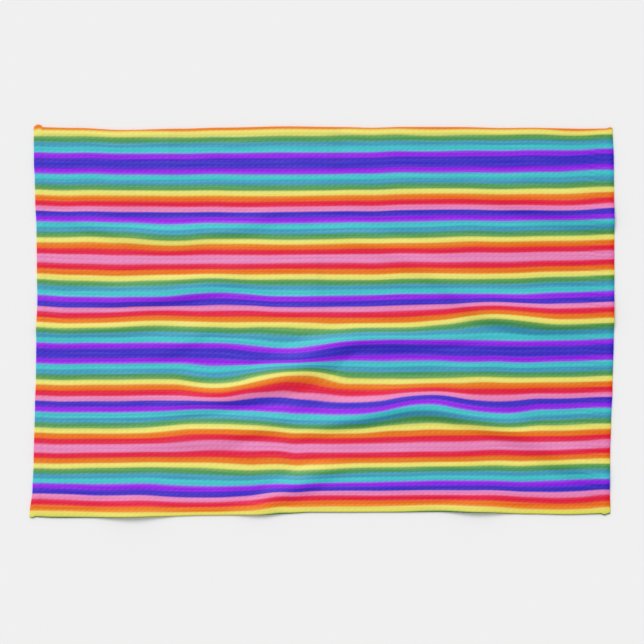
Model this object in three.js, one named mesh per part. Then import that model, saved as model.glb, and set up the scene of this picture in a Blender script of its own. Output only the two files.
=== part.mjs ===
// A striped tea towel lying open on a table: one rectangle of waffle cloth with turned hems, millimetres, +Z up.
// +X runs along the towel's length, +Y towards its far long edge, and the table is the plane z = 0.
import * as THREE from "three";

// Driving dimensions of the cloth
const LENGTH = 610;
const WIDTH = 406;
const CLOTH_THICKNESS = 1.8;
const HEM_WIDTH = 8;
const HEM_RAISE = 0.8;
const HEM_STEP = 3;
const EDGE_ROUND = 0.9;

// How finely the cloth is divided: even columns, and rows that lie closer together where the deep folds are
const COLUMN_STEP = 14.7;
const ROW_BANDS = [{ upTo: 52, step: 5.6 }, { upTo: WIDTH / 2, step: 11 }];
const CREST_STEPS = 40;

// The four edges wander: at is the place along the edge, out is how far it lies outside the cut line
const EDGES = {
  left: [
    { at: -203, out: 2.5 }, { at: -173, out: -0.5 }, { at: -84, out: -2.5 },
    { at: -8, out: -5.5 }, { at: 93, out: -5.5 }, { at: 130, out: -3.5 }, { at: 203, out: -3 },
  ],
  right: [
    { at: -203, out: -2.5 }, { at: -109, out: -1.2 }, { at: -21, out: 1.7 },
    { at: 55, out: 2.4 }, { at: 168, out: 1.7 }, { at: 203, out: -0.5 },
  ],
  near: [
    { at: -305, out: 1.6 }, { at: -230, out: 3.7 }, { at: -115, out: 1.6 }, { at: -20, out: -1.5 },
    { at: 75, out: -2.6 }, { at: 170, out: -1.5 }, { at: 240, out: 0.6 }, { at: 305, out: -1.5 },
  ],
  far: [
    { at: -305, out: 1 }, { at: -215, out: -1 }, { at: -40, out: 2 },
    { at: 85, out: 1 }, { at: 250, out: 0 }, { at: 305, out: 0 },
  ],
};

// Soft folds. crest is the line of the fold from its start to its end; height is how far it stands off the table;
// far and near are how wide its two flanks are; start and end are the lengths over which it rises and dies away;
// sharp is 0 for a round swell and 1 for a pinched crease.
const FOLDS = [
  {
    name: "shoulder", crest: [[-31, -47], [-10, -31], [15, -18], [53, -16], [133, -17]],
    height: 6.2, far: 24, near: 15, start: 34, end: 110, sharp: 0.35,
  },
  {
    name: "main fold", crest: [[-153, -98], [-113, -87], [-75, -74], [-39, -63], [1, -43]],
    height: 6.2, far: 15, near: 17, start: 60, end: 24, sharp: 0.7,
  },
  {
    name: "left swell", crest: [[-265, -113], [-180, -116], [-123, -115], [-33, -105]],
    height: 2.8, far: 12, near: 30, start: 110, end: 30, sharp: 0.5,
  },
  {
    name: "arch", crest: [[-23, -119], [34, -103], [87, -90], [150, -97], [203, -115], [293, -157]],
    height: 7.2, far: 17, near: 17, start: 60, end: 170, sharp: 0.4,
  },
  {
    name: "low fold", crest: [[-75, -197], [-54, -183], [-31, -168], [1, -158]],
    height: 3.4, far: 14, near: 15, start: 40, end: 30, sharp: 0.4,
  },
  {
    name: "short ridge", crest: [[-241, 28], [-191, 29], [-149, 33], [-105, 41]],
    height: 3.6, far: 17, near: 17, start: 60, end: 60, sharp: 0.2,
  },
  {
    name: "hanging swell", crest: [[-279, 115], [-233, 96], [-191, 89], [-138, 93], [-44, 121]],
    height: 1.9, far: 24, near: 17, start: 60, end: 60, sharp: 0.2,
  },
  {
    name: "falling swell", crest: [[-23, 100], [30, 92], [97, 62], [129, 45]],
    height: 1.5, far: 24, near: 15, start: 50, end: 30, sharp: 0.2,
  },
  {
    name: "right step", crest: [[120, 33], [148, 19], [188, 7], [240, 3], [330, 2]],
    height: 4.6, far: 40, near: 16, start: 50, end: 70, sharp: 0.3,
  },
  {
    name: "far right swell", crest: [[167, 144], [209, 129], [251, 117], [314, 104]],
    height: 2.4, far: 28, near: 18, start: 60, end: 1, sharp: 0.2,
  },
  {
    name: "left edge ridge", crest: [[-313, -5], [-254, -4], [-201, -1], [-170, 7]],
    height: 1.4, far: 16, near: 15, start: 30, end: 40, sharp: 0.2,
  },
  {
    name: "slant", crest: [[-191, -33], [-159, -26], [-128, -9]],
    height: 1.1, far: 16, near: 14, start: 25, end: 30, sharp: 0.2,
  },
];

// Places where the near edge doesn't lie down: middle of the lift, its reach along and across the edge, its height
const EDGE_LIFTS = [
  { name: "left lift", x: -191, y: -206, along: 46, across: 22, height: 2.4 },
  { name: "middle lift", x: -70, y: -203, along: 36, across: 20, height: 2.2 },
  { name: "right lift", x: 156, y: -201, along: 44, across: 22, height: 2.6 },
];

// Eases from 0 to 1 with level ends
function ease(share) {
  const t = THREE.MathUtils.clamp(share, 0, 1);
  return t * t * (3 - 2 * t);
}

// How far an edge lies outside the cut line at a place along it
function edgeOut(knots, at) {
  const last = knots[knots.length - 1];
  if (at >= last.at) return last.out;
  const next = Math.max(1, knots.findIndex((knot) => knot.at > at));
  const a = knots[next - 1];
  const b = knots[next];
  return a.out + (b.out - a.out) * ease((at - a.at) / (b.at - a.at));
}

// Where a point of the cut rectangle lies on the table
function laidPoint(cutX, cutY) {
  const alongShare = cutX / LENGTH + 0.5;
  const acrossShare = cutY / WIDTH + 0.5;
  const left = edgeOut(EDGES.left, cutY);
  const right = edgeOut(EDGES.right, cutY);
  const near = edgeOut(EDGES.near, cutX);
  const far = edgeOut(EDGES.far, cutX);
  return new THREE.Vector2(
    cutX + right * alongShare - left * (1 - alongShare),
    cutY + far * acrossShare - near * (1 - acrossShare),
  );
}

// A fold's crest as a line of short straight steps, with the length run at each
function crestLine(fold) {
  const curve = new THREE.SplineCurve(fold.crest.map(([x, y]) => new THREE.Vector2(x, y)));
  return { points: curve.getSpacedPoints(CREST_STEPS), length: curve.getLength() };
}

// The nearest place on a crest: its distance, the share of the crest run there, and how far it lies on the far side
function nearestOnCrest(crest, point) {
  const nearest = { distance: Infinity, run: 0, side: 0 };
  const step = new THREE.Vector2();
  const away = new THREE.Vector2();
  for (let i = 0; i < CREST_STEPS; i++) {
    step.subVectors(crest.points[i + 1], crest.points[i]);
    away.subVectors(point, crest.points[i]);
    const share = THREE.MathUtils.clamp(away.dot(step) / step.lengthSq(), 0, 1);
    away.addScaledVector(step, -share);
    const distance = away.length();
    if (distance < nearest.distance) {
      nearest.distance = distance;
      nearest.run = (i + share) / CREST_STEPS;
      nearest.side = distance > 0 ? step.cross(away) / (step.length() * distance) : 0;
    }
  }
  return nearest;
}

// The section of a fold: share is 0 at the crest and 1 at the foot of the flank
function foldSection(share, sharp) {
  const swell = 0.5 * (1 + Math.cos(Math.PI * share));
  const crease = (1 - share) ** 2;
  return swell * (1 - sharp) + crease * sharp;
}

// How far one fold lifts the cloth at a point
function foldHeight(fold, crest, point) {
  const place = nearestOnCrest(crest, point);
  const flank = fold.near + (fold.far - fold.near) * (place.side + 1) / 2;
  if (place.distance >= flank) return 0;
  const run = place.run * crest.length;
  const fade = ease(run / fold.start) * ease((crest.length - run) / fold.end);
  return fold.height * fade * foldSection(place.distance / flank, fold.sharp);
}

// How far an edge lift raises the cloth at a point
function liftHeight(lift, point) {
  const reach = Math.hypot((point.x - lift.x) / lift.along, (point.y - lift.y) / lift.across);
  return lift.height * ease(1 - reach);
}

const CRESTS = FOLDS.map(crestLine);

// The height of the cloth's underside over the table
function undersideHeight(point) {
  const folds = FOLDS.reduce((sum, fold, i) => sum + foldHeight(fold, CRESTS[i], point), 0);
  return EDGE_LIFTS.reduce((sum, lift) => sum + liftHeight(lift, point), folds);
}

// The extra thickness of the turned hem, which eases away inside it
function hemRaise(cutX, cutY) {
  const inFromEdge = Math.min(LENGTH / 2 - Math.abs(cutX), WIDTH / 2 - Math.abs(cutY));
  return HEM_RAISE * (1 - ease((inFromEdge - HEM_WIDTH) / HEM_STEP));
}

// Lines across the cut cloth: at the edge and the two sides of each hem, and even within each band between them
function gridLines(size, bands) {
  const half = size / 2;
  const inner = half - HEM_WIDTH - HEM_STEP;
  const lines = [EDGE_ROUND - half, HEM_WIDTH - half, -inner];
  for (const band of bands) {
    const start = lines[lines.length - 1];
    const end = Math.min(band.upTo, inner);
    const divisions = Math.round((end - start) / band.step);
    for (let i = 1; i <= divisions; i++) lines.push(start + ((end - start) * i) / divisions);
  }
  lines.push(half - HEM_WIDTH, half - EDGE_ROUND);
  return lines;
}

// The closed sheet: an upper and a lower face on one grid, joined by a rounded edge
function towelGeometry() {
  const xs = gridLines(LENGTH, [{ upTo: LENGTH / 2, step: COLUMN_STEP }]);
  const ys = gridLines(WIDTH, ROW_BANDS);
  const positions = [];
  const triangles = [];

  const addVertex = (point, z) => positions.push(point.x, point.y, z) / 3 - 1;
  const heightOf = (vertex) => positions[vertex * 3 + 2];

  // A four-sided cell is split along the diagonal that is more nearly level, so that a crest isn't cut across
  function addQuad(a, b, c, d) {
    const splitsAC = Math.abs(heightOf(a) - heightOf(c)) <= Math.abs(heightOf(b) - heightOf(d));
    triangles.push(...(splitsAC ? [a, b, c, a, c, d] : [a, b, d, b, c, d]));
  }

  const upper = ys.map((y) => xs.map((x) => {
    const point = laidPoint(x, y);
    return addVertex(point, undersideHeight(point) + CLOTH_THICKNESS + hemRaise(x, y));
  }));
  const lower = ys.map((y) => xs.map((x) => {
    const point = laidPoint(x, y);
    return addVertex(point, undersideHeight(point));
  }));

  const lastRow = ys.length - 1;
  const lastColumn = xs.length - 1;
  for (let row = 0; row < lastRow; row++) {
    for (let column = 0; column < lastColumn; column++) {
      addQuad(upper[row][column], upper[row][column + 1], upper[row + 1][column + 1], upper[row + 1][column]);
      addQuad(lower[row][column], lower[row + 1][column], lower[row + 1][column + 1], lower[row][column + 1]);
    }
  }

  // The rim runs once round the grid, anticlockwise from above
  const rim = [];
  for (let column = 0; column < lastColumn; column++) rim.push([0, column]);
  for (let row = 0; row < lastRow; row++) rim.push([row, lastColumn]);
  for (let column = lastColumn; column > 0; column--) rim.push([lastRow, column]);
  for (let row = lastRow; row > 0; row--) rim.push([row, 0]);

  const toCutLine = (value, half) => (Math.abs(value) > half - 2 * EDGE_ROUND ? Math.sign(value) * half : value);
  const edge = rim.map(([row, column]) => {
    const point = laidPoint(toCutLine(xs[column], LENGTH / 2), toCutLine(ys[row], WIDTH / 2));
    return addVertex(point, undersideHeight(point) + (CLOTH_THICKNESS + HEM_RAISE) / 2);
  });
  rim.forEach(([row, column], i) => {
    const next = (i + 1) % rim.length;
    const [nextRow, nextColumn] = rim[next];
    addQuad(edge[i], edge[next], upper[nextRow][nextColumn], upper[row][column]);
    addQuad(lower[row][column], lower[nextRow][nextColumn], edge[next], edge[i]);
  });

  const geometry = new THREE.BufferGeometry();
  geometry.setAttribute("position", new THREE.Float32BufferAttribute(positions, 3));
  geometry.setIndex(triangles);
  geometry.computeVertexNormals();
  return geometry;
}

// Puts the middle of the laid cloth's outline on the origin
function centreOutline(geometry) {
  geometry.computeBoundingBox();
  const middle = geometry.boundingBox.getCenter(new THREE.Vector3());
  geometry.translate(-middle.x, -middle.y, -geometry.boundingBox.min.z);
  return geometry;
}

function printedCloth() {
  return new THREE.MeshStandardMaterial({ color: 0xd98a55, roughness: 0.9, metalness: 0 });
}

function makeTowel() {
  const towel = new THREE.Mesh(centreOutline(towelGeometry()), printedCloth());
  towel.name = "towel";
  return towel;
}

const model = new THREE.Group();
model.add(makeTowel());

export default model;
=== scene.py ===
"""A striped tea towel lying open on a table: printed waffle cloth with turned hems, in soft uneven folds.

+X runs along the towel's length, +Y towards its far long edge, and the table is the plane z = 0.
The tables are a cutter's pattern in millimetres, and MM turns them into Blender's metres.
"""

import math
from collections import namedtuple

import bpy
import numpy as np
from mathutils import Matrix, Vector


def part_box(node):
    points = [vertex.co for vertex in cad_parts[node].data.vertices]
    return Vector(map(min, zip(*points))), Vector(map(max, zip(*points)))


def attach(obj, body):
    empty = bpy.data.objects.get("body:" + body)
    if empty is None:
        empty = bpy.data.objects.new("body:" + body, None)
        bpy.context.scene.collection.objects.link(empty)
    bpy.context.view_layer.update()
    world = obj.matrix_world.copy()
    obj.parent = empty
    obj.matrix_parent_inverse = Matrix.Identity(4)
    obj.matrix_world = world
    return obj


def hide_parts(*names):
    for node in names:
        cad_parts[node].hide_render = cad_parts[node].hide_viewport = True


bl_info = {
    "name": "Striped Tea Towel",
    "version": (1, 0, 0),
    "blender": (4, 5, 0),
    "location": "View3D > Sidebar > Tea Towel",
    "description": "Builds a printed waffle tea towel, laid open in soft folds, and its plain stage",
    "category": "Object",
}

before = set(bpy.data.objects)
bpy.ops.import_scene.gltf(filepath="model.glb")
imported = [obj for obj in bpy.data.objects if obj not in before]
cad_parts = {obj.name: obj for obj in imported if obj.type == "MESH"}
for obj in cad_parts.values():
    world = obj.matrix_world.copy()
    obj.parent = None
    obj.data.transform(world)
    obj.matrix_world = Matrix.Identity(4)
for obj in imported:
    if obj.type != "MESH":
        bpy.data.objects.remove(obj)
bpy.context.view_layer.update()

TOWEL_NODE = "towel"
BODY = "root"

MM = 0.001

# The cut sheet that the tables below are drawn for, in millimetres
CUT_LENGTH = 610
CUT_WIDTH = 406
HALF_LENGTH = CUT_LENGTH / 2
HALF_WIDTH = CUT_WIDTH / 2

# The rows of the tables. A row's name only tells a reader which place it is.
Knot = namedtuple("Knot", "at out")
Crest = namedtuple("Crest", "x y height far near")
Fold = namedtuple("Fold", "name far_form near_form crest")
Lift = namedtuple("Lift", "name x y along across height")
Nub = namedtuple("Nub", "name x side reach out")
Pull = namedtuple("Pull", "x y along across up")
Stripe = namedtuple("Stripe", "colour width")
Unevenness = namedtuple("Unevenness", "name along across amount")

# The four edges wander: at is the place along the edge, out is how far it lies outside the cut line
LEFT_EDGE = [
    Knot(-203, 2.5), Knot(-173, -0.8), Knot(-148, -2.0), Knot(-84, -3.4), Knot(-60, -4.4), Knot(-8, -4.8),
    Knot(22, -5.9), Knot(55, -5.4), Knot(93, -5.1), Knot(130, -3.6), Knot(147, -3.3), Knot(165, -2.3),
    Knot(203, -2.1),
]
RIGHT_EDGE = [
    Knot(-203, -2.0), Knot(-172, -2.6), Knot(-140, -2.3), Knot(-109, -1.4), Knot(-70, 0.2), Knot(-18, 1.6),
    Knot(55, 2.2), Knot(168, 1.7), Knot(203, 0.3),
]
NEAR_EDGE = [
    Knot(-305, 2.6), Knot(-278, 3.7), Knot(-230, 3.5), Knot(-170, 2.5), Knot(-118, 1.2), Knot(-62, 0.6),
    Knot(-35, -0.6), Knot(-10, -1.9), Knot(75, -2.0), Knot(124, -2.6), Knot(170, -1.8), Knot(218, -0.1),
    Knot(262, 0.5), Knot(305, -0.4),
]
FAR_EDGE = [
    Knot(-305, 0.8), Knot(-260, -0.1), Knot(-212, -2.2), Knot(-150, -0.9), Knot(-107, 0.2), Knot(-40, 1.5),
    Knot(20, 0.9), Knot(52, 0.1), Knot(82, 1.0), Knot(146, 0.8), Knot(190, -0.2), Knot(215, 0.1),
    Knot(275, -1.0), Knot(305, -0.6),
]

# Soft folds, each as the line of its crest: where the crest runs, how high it stands off the table there,
# and how wide its far and its near flank are. far_form and near_form shape the flanks: 0 is an even swell,
# 1 is pinched at the crest, and -1 is rolled over and ends in a sharp foot.
FOLDS = [
    Fold("main fold", -0.3, -0.35, [
        Crest(-185, -93, 0, 18, 16), Crest(-134, -85, 2.9, 18, 17), Crest(-103, -80, 4.3, 24, 16),
        Crest(-71, -70, 5.2, 22, 18), Crest(-39, -57, 6.2, 28, 23), Crest(-18, -43, 6.8, 26, 28),
        Crest(3, -29, 6.4, 20, 27), Crest(34, -20, 4.8, 16, 14), Crest(66, -18, 4.6, 14, 16),
        Crest(108, -19, 3.0, 15, 13), Crest(139, -18, 1.8, 13, 10), Crest(172, -14, 0, 13, 10),
    ]),
    Fold("left swell", -0.8, 0, [
        Crest(-215, -121, 0, 16, 18), Crest(-176, -125, 2.2, 18, 20), Crest(-134, -122, 3.6, 20, 20),
        Crest(-103, -121, 3.8, 24, 18), Crest(-71, -113, 3.2, 20, 14), Crest(-39, -104, 2.6, 17, 20),
        Crest(-5, -104, 0, 16, 18),
    ]),
    Fold("arch", 0.2, -0.2, [
        Crest(-48, -125, 0, 16, 14), Crest(-12, -113, 2.6, 20, 15), Crest(13, -105, 4.8, 28, 15),
        Crest(45, -98.5, 6.6, 30, 15), Crest(87, -90.5, 7.2, 32, 16), Crest(129, -93.5, 6.6, 28, 15),
        Crest(171, -105, 5.0, 22, 17), Crest(213, -119, 4.8, 18, 20), Crest(255, -146, 4.6, 20, 20),
        Crest(290, -163, 2.4, 20, 18), Crest(316, -174, 0, 20, 18),
    ]),
    Fold("low fold", -0.4, 0, [
        Crest(-82, -202, 0, 12, 14), Crest(-63, -194, 1.8, 14, 14), Crest(-45, -183, 3.2, 16, 16),
        Crest(-18, -168, 4.0, 16, 19), Crest(4, -157, 2.4, 14, 16), Crest(28, -151, 0, 12, 12),
    ]),
    Fold("short ridge", -0.6, -0.8, [
        Crest(-262, 20, 0, 18, 10), Crest(-234, 23, 1.4, 18, 11), Crest(-192, 25, 3.4, 20, 12),
        Crest(-150, 30.5, 3.8, 21, 14), Crest(-112, 39, 1.9, 18, 14), Crest(-80, 45, 0, 16, 12),
    ]),
    Fold("hanging swell", -0.4, 0.2, [
        Crest(-286, 113, 0, 18, 12), Crest(-255, 104, 1.7, 20, 12), Crest(-208, 89, 2.5, 18, 12),
        Crest(-170, 88, 2.6, 18, 13), Crest(-134, 89.5, 2.3, 20, 14), Crest(-82, 100, 2.2, 14, 16),
        Crest(-38, 117, 0, 14, 14),
    ]),
    Fold("falling swell", 0, 0, [
        Crest(-15, 99, 0, 18, 14), Crest(13, 91.5, 1.2, 18, 16), Crest(39, 86, 1.5, 18, 18),
        Crest(66, 79, 1.8, 20, 18), Crest(92, 65, 2.1, 22, 17), Crest(118, 48, 2.7, 22, 16),
        Crest(141, 29, 2.0, 24, 15), Crest(163, 12, 0, 24, 14),
    ]),
    Fold("right step", -0.1, -0.2, [
        Crest(116, 49, 0, 30, 16), Crest(141, 28.5, 1.8, 30, 17), Crest(160, 13, 4.2, 34, 17),
        Crest(192, 4, 5.6, 36, 16), Crest(234, -2.5, 5.2, 38, 15), Crest(281, -1, 3.2, 38, 14),
        Crest(330, 2, 3.0, 38, 13),
    ]),
    Fold("far right swell", 0, 0, [
        Crest(160, 152, 0, 24, 14), Crest(208, 124, 2.4, 26, 18), Crest(244, 116, 3.8, 28, 20),
        Crest(287, 109, 3.7, 28, 18), Crest(320, 105, 3.4, 28, 18),
    ]),
    Fold("left edge ridge", 0, 0.6, [
        Crest(-320, -10, 1.5, 14, 12), Crest(-243, -9.5, 1.9, 14, 12), Crest(-201, -7, 1.7, 14, 11),
        Crest(-172, -4, 0, 14, 11),
    ]),
    Fold("slant", -0.4, 0, [
        Crest(-197, -37, 0, 20, 14), Crest(-160, -28, 2.1, 22, 15), Crest(-136, -17, 1.8, 20, 14),
        Crest(-112, 0, 0, 18, 12),
    ]),
]

# Fine creases left in the face of the cloth by handling. A height below 0 is a trough.
CREASES = [
    Fold("corner slant", 0.5, 0.5, [
        Crest(-288, 178, 0, 7, 8), Crest(-268, 163, -0.5, 7, 8), Crest(-222, 130, -0.5, 7, 8),
        Crest(-194, 106, 0, 7, 8),
    ]),
    Fold("corner slant lip", 0.5, 0.5, [
        Crest(-283, 188, 0, 8, 6), Crest(-263, 173, 0.4, 8, 6), Crest(-217, 140, 0.4, 8, 6),
        Crest(-189, 116, 0, 8, 6),
    ]),
    Fold("lower left slant", 0.4, 0.4, [
        Crest(-256, -84, 0, 9, 9), Crest(-246, -110, -0.45, 9, 9), Crest(-229, -160, -0.45, 9, 9),
        Crest(-216, -198, 0, 9, 9),
    ]),
]

# Lines where the cloth was folded when it was packed, along which shade is painted into the print as a
# slightly darker band. Their height is 1 at full strength, the far flank lies on the right and the near
# flank on the left.
PACK_LINES = [
    Fold("left pack line", 0, 0, [
        Crest(-158, 206, 1, 15, 6), Crest(-158, 165, 1, 15, 6), Crest(-160, 118, 0, 14, 6),
    ]),
    Fold("middle pack line", 0, 0, [
        Crest(14, 206, 1, 13, 13), Crest(13, 172, 0.9, 13, 12), Crest(12, 140, 0, 10, 10),
    ]),
    Fold("inner pack line", 0, 0, [
        Crest(-4, 80, 0, 10, 8), Crest(-3, 60, 0.8, 10, 8), Crest(-2, 20, 0.8, 10, 8),
        Crest(-2, 2, 0, 10, 8),
    ]),
]

# Places where the near edge doesn't lie down: middle of the lift, its reach along and across the edge, and
# its height
EDGE_LIFTS = [
    Lift("left lift", -199, -206, 48, 24, 5.6),
    Lift("middle lift", -66, -203, 36, 20, 3.2),
    Lift("right lift", 163, -201, 44, 24, 4.7),
]

# Ends of the turned side hems that stick out at the corners: side is 1 on the far edge and -1 on the near,
# reach is half their width, and out is how far they stick out. They start NUB_DEPTH in from the edge, and
# NUB_BLUNTNESS squares their ends.
NUBS = [
    Nub("far left nub", -300.5, 1, 4.4, 2.7),
    Nub("far right nub", 302.5, 1, 3, 1.2),
    Nub("near left nub", -302.5, -1, 3, 1.4),
    Nub("near right nub", 299, -1, 3, 1.3),
]
NUB_DEPTH = 7
NUB_BLUNTNESS = 4

# How far the cloth is drawn towards the far edge (up) round a place, by the folds and by handling. Each pull
# fades out at its reach along and across the towel.
PULLS = [
    # Broad ones
    Pull(-30, 60, 190, 190, -2.3), Pull(0, -120, 180, 120, -3.6), Pull(340, 60, 170, 300, 3.6),
    # Along the far edge
    Pull(-278, 205, 50, 12, 0.9), Pull(-270, 203, 60, 20, 1.3), Pull(-215, 150, 70, 80, 1.4),
    Pull(-205, 204, 60, 16, 1.6), Pull(-190, 192, 110, 30, 0.9), Pull(-100, 150, 80, 40, 0.8),
    Pull(-40, 203, 230, 14, 1.1), Pull(0, 205, 330, 14, 1.1), Pull(55, 194, 75, 22, 1.5),
    Pull(72, 168, 60, 30, 1.0), Pull(180, 205, 120, 14, 0.6), Pull(215, 184, 130, 48, 2.6),
    Pull(262, 201, 36, 18, -1.1), Pull(278, 160, 36, 30, 1.2), Pull(290, 160, 44, 50, 0.8),
    Pull(304, 176, 34, 34, 1.6),
    # Round the hanging swell, the falling swell and the far right swell
    Pull(-265, 130, 60, 28, -0.9), Pull(-256, 90, 44, 22, 1.1), Pull(-205, 88, 66, 24, 1.8),
    Pull(-165, 88, 50, 28, -2.4), Pull(-78, 86, 44, 22, 1.0), Pull(-50, 138, 105, 46, -1.3),
    Pull(-30, 88, 110, 32, -1.8), Pull(100, 88, 70, 32, -1.6), Pull(125, 70, 46, 22, -1.0),
    Pull(252, 121, 60, 20, -1.6),
    # Across the middle, from the short ridge and the slant to the right step
    Pull(-268, -2, 56, 24, -0.9), Pull(-245, 28, 90, 46, -1.7), Pull(-172, 25, 36, 20, -1.1),
    Pull(-170, 2, 70, 28, 1.6), Pull(-115, 33, 55, 24, 2.8), Pull(-88, 18, 44, 24, 1.0),
    Pull(-88, -16, 30, 17, -1.0), Pull(-30, 20, 52, 26, -1.7), Pull(4, -12, 44, 17, -1.8),
    Pull(14, 24, 50, 26, -0.9), Pull(42, 0, 110, 28, -2.7), Pull(60, 42, 130, 34, -1.3),
    Pull(90, -8, 42, 18, -1.1), Pull(104, 8, 56, 22, -1.0), Pull(140, 38, 60, 42, -1.2),
    Pull(175, 48, 80, 30, -1.2), Pull(188, 4, 66, 26, 6.6), Pull(212, 18, 46, 38, -1.2),
    # Round the main fold
    Pull(-200, -40, 90, 90, 1.3), Pull(-115, -62, 42, 30, -4.2), Pull(-80, -38, 34, 18, -1.9),
    Pull(-60, -79, 42, 27, 1.8), Pull(-45, -76, 66, 17, 3.2), Pull(-35, -28, 62, 26, -6.0),
    Pull(-30, -58, 62, 20, 9.5), Pull(6, -73, 28, 15, 1.3), Pull(18, -48, 60, 20, 2.3),
    Pull(60, -26, 70, 24, 2.6), Pull(90, -69, 60, 15, -1.4), Pull(118, -65, 56, 18, -2.8),
    Pull(150, -43, 40, 17, -1.4), Pull(216, -42, 40, 20, -0.9),
    # Round the arch and the left swell
    Pull(-118, -110, 30, 17, -1.0), Pull(-115, -112, 78, 34, 5.2), Pull(-85, -136, 60, 24, 1.6),
    Pull(-58, -113, 36, 19, 1.6), Pull(-58, -130, 36, 24, 1.1), Pull(-26, -104, 34, 16, -1.6),
    Pull(0, -108, 34, 19, -1.2), Pull(20, -138, 60, 30, -0.7), Pull(30, -98, 70, 30, -3.0),
    Pull(68, -104, 36, 22, 1.8), Pull(88, -96, 36, 18, 1.3), Pull(110, -86, 50, 34, 5.0),
    Pull(110, -142, 90, 26, -1.8), Pull(145, -135, 52, 38, -1.2), Pull(156, -83, 42, 25, -2.0),
    Pull(188, -84, 42, 28, -1.6), Pull(190, -100, 46, 26, -3.4), Pull(280, -98, 44, 28, 1.3),
    Pull(306, -132, 32, 26, 1.4),
    # Along the near edge
    Pull(-292, -178, 60, 26, 1.2), Pull(-282, -190, 52, 30, 1.5), Pull(-250, -203, 70, 15, 0.6),
    Pull(-205, -158, 120, 44, 1.8), Pull(-125, -182, 75, 34, -3.4), Pull(-50, -160, 30, 50, 1.9),
    Pull(-46, -192, 36, 22, 1.9), Pull(-40, -158, 90, 26, -2.8), Pull(0, -181, 70, 18, 2.3),
    Pull(55, -202, 110, 14, -1.3), Pull(60, -200, 150, 30, 3.2), Pull(65, -204, 90, 15, -1.3),
    Pull(80, -177, 80, 13, 1.2), Pull(185, -183, 70, 20, 1.9), Pull(262, -160, 64, 40, 2.6),
    Pull(285, -165, 50, 60, 0.9), Pull(306, -182, 36, 28, 2.2),
]
# The hem holds the cloth in line, so near the edges it is the print that is drawn and not the cloth
HELD_BY_HEM = 12
FREE_OF_HEM = 34
# The pulls belong to laid places, so laying out goes towards its answer in small steps
LAYING_STEPS = 40
LAYING_SHARE = 0.5

# A crest is drawn as a smooth curve through its rows, and then cut into even steps
CREST_STEPS = 40
CURVE_SAMPLES = 60

# The broad unevenness of cloth that has been folded away: low rolling waves, the same each time
WAVE_COUNT = 9
WAVE_SEED = 11
WAVE_HEIGHT = 0.16
SHORTEST_WAVE = 55
LONGEST_WAVE = 150

# The hem's inner step and its rolled edge, and the rings that round the edge off, in degrees above its
# middle
HEM_STEP = 1.9
EDGE_ROLL = 0.5
EDGE_ROLL_WIDTH = 4.2
RIM_ANGLES = [60, 30, 0, -30, -60]

# The waffle: the ridges that run along the towel are a little lower, and all of them are flatter on the hem
SAMPLES_PER_CELL = 3
LOW_RIDGE = 0.85
HEM_WAFFLE = 0.45
WAFFLE_FADE = 4

# Faces that meet more sharply than this are not shaded as one round surface
SHARPEST_SMOOTH = math.radians(50)
TINY = 1e-9

# The print runs from the middle of a wide indigo stripe to the middle of a wide pink one, and then turns
# back. The first and the last stripe are halves of the wide ones. WIDE_INDIGO_AT is where the middle of a
# wide indigo stripe lies, from the middle of the cut cloth towards the far edge.
SHARED_STRIPES = [
    Stripe("purple", 5.6), Stripe("turquoise", 5.5), Stripe("blue", 5.2), Stripe("green", 5.7),
    Stripe("yellow", 5.3), Stripe("orange", 5.6), Stripe("red", 5.9),
]
FIRST_STRIPES = [Stripe("indigo", 5.5), *SHARED_STRIPES, Stripe("pink", 5.2)]
SECOND_STRIPES = [Stripe("indigo", 6.1), *SHARED_STRIPES, Stripe("pink", 4.6)]
FIRST_RUN = sum(stripe.width for stripe in FIRST_STRIPES)
SECOND_RUN = sum(stripe.width for stripe in SECOND_STRIPES)
WIDE_INDIGO_AT = -32.3

# Attributes of the mesh that the cloth's material reads: where light and shade are painted into the print
PACK_SHADE_ATTRIBUTE = "pack_lines"
SHADE_LEAN_ATTRIBUTE = "lean"

# Painted shade and light: where the cloth falls towards the near right, away from the key light, the print
# is painted deeper, and where it rises towards it, paler. A value of 1 is a fall of 45 degrees.
LEAN_STEP = 1.5
PAINTED_LIGHT_FROM = math.radians(120)
MOST_RISE = -0.6
MOST_FALL = 1.0
LEAN_SHADE_DEPTH = 0.26
# Painted shade along the near and the right hem, where they roll under. Each row adds its amount at the
# edge, which is gone at that distance in.
NEAR_ROLL_SHADE = ((5.0, 1.1), (1.0, 7.0))
RIGHT_ROLL_SHADE = ((1.0, 6.0),)

# How much deeper the print is painted: in the waffle's cells and at the right end as painted shade, and in
# random streaks along the threads
CELL_SHADE_DEPTH = 0.03
STREAK_DEPTH = 0.32
STREAK_LENGTH = 60
STREAK_WIDTH = 2.0
END_SHADE_DEPTH = 0.07

# Unevenness of the cloth's tone: size of its lumps along and across, and how far it goes up and down
WORN_TONES = [
    Unevenness("broad lumps", 70, 50, 0.015),
    Unevenness("streaks along the towel", 45, 2.4, 0.05),
    Unevenness("streaks across the towel", 3.0, 40, 0.03),
]

# Painted shade and light over the print, where 1 leaves it as it is: shade between the threads and light on
# them, shade along the pack lines and towards the right end, and shade and light on the cells, which go up
# and down from 1 by CELL_SHADE_TONE.
THREAD_SHADES = (0.95, 1.02)
PACK_LINE_SHADE = 0.955
RIGHT_END_SHADE = 0.955
CELL_SHADE_TONE = 0.0375
# The share of the length up to which the print is evenly lit, before painted shade deepens it towards the
# right end
END_SHADE_FROM = 0.45

# A cell's painted shade and light is the sum of three waves over the weave: across, upright with a smaller
# share, and slanting
MOST_CELL_SHADE = 3
UPRIGHT_SHARE = 0.35
CELL_SLANT = -0.26

# The finish of the face and the back
MATT_COTTON = {"Roughness": 0.95, "Specular IOR Level": 0.04, "Sheen Weight": 0.02, "Sheen Roughness": 0.5}

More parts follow.
